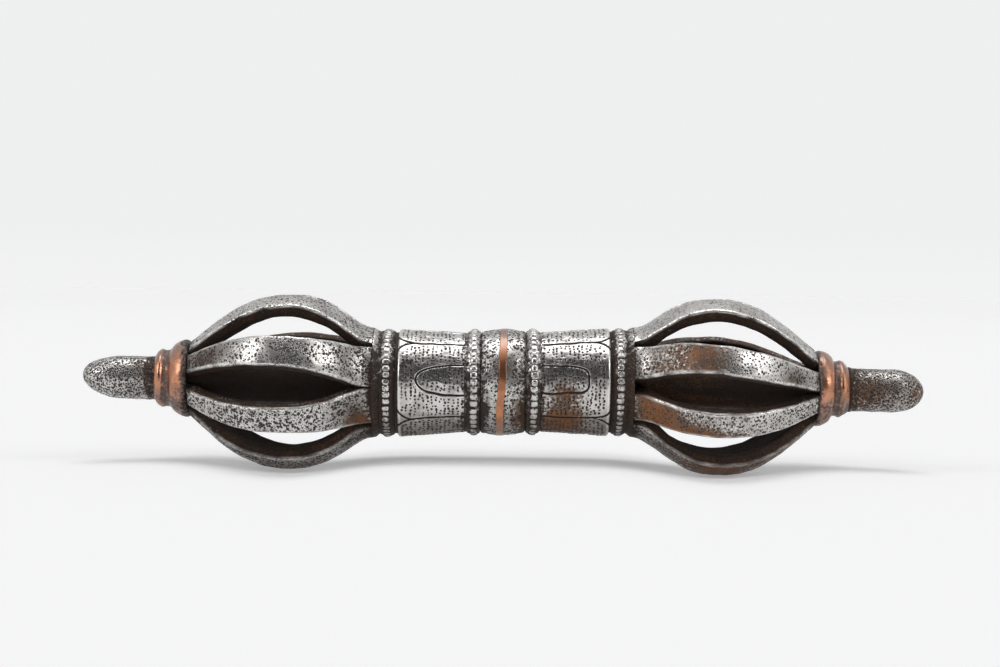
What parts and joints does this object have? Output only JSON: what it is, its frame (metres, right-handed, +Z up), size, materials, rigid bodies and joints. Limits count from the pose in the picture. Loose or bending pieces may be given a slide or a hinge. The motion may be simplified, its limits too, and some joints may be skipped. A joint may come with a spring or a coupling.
{
  "type": "dorje vajra",
  "caption": "Nine-pronged iron vajra: caged bowed prongs and bullet tips at both ends of a beaded grip with engraved lotus sleeves, bound by copper collars and a copper band.",
  "frame": {"origin": "middle of the grip, on the axis of the core rod", "axes": "+X along the core rod towards the right tip, +Z up from the surface it rests on, -Y towards the viewer of the picture"},
  "size_m": [0.18, 0.0378, 0.0378],
  "materials": {
    "iron": "hand-forged iron, bright and pitted on the raised faces, brown in the recesses",
    "copper": "hammered copper with dull brown patina in the hollows"
  },
  "bodies": {
    "root": {"core_rod": "iron", "barrel": "iron", "left_inner_bead_ring": "iron", "left_lotus_sleeve": "iron", "left_root_hoop": "iron", "left_prong_1": "iron", "left_prong_2": "iron", "left_prong_3": "iron", "left_prong_4": "iron", "left_prong_5": "iron", "left_prong_6": "iron", "left_prong_7": "iron", "left_prong_8": "iron", "right_inner_bead_ring": "iron", "right_lotus_sleeve": "iron", "right_root_hoop": "iron", "right_prong_1": "iron", "right_prong_2": "iron", "right_prong_3": "iron", "right_prong_4": "iron", "right_prong_5": "iron", "right_prong_6": "iron", "right_prong_7": "iron", "right_prong_8": "iron", "copper_band": "copper", "left_tip_collar": "copper", "right_tip_collar": "copper"}
  },
  "joints": []
}
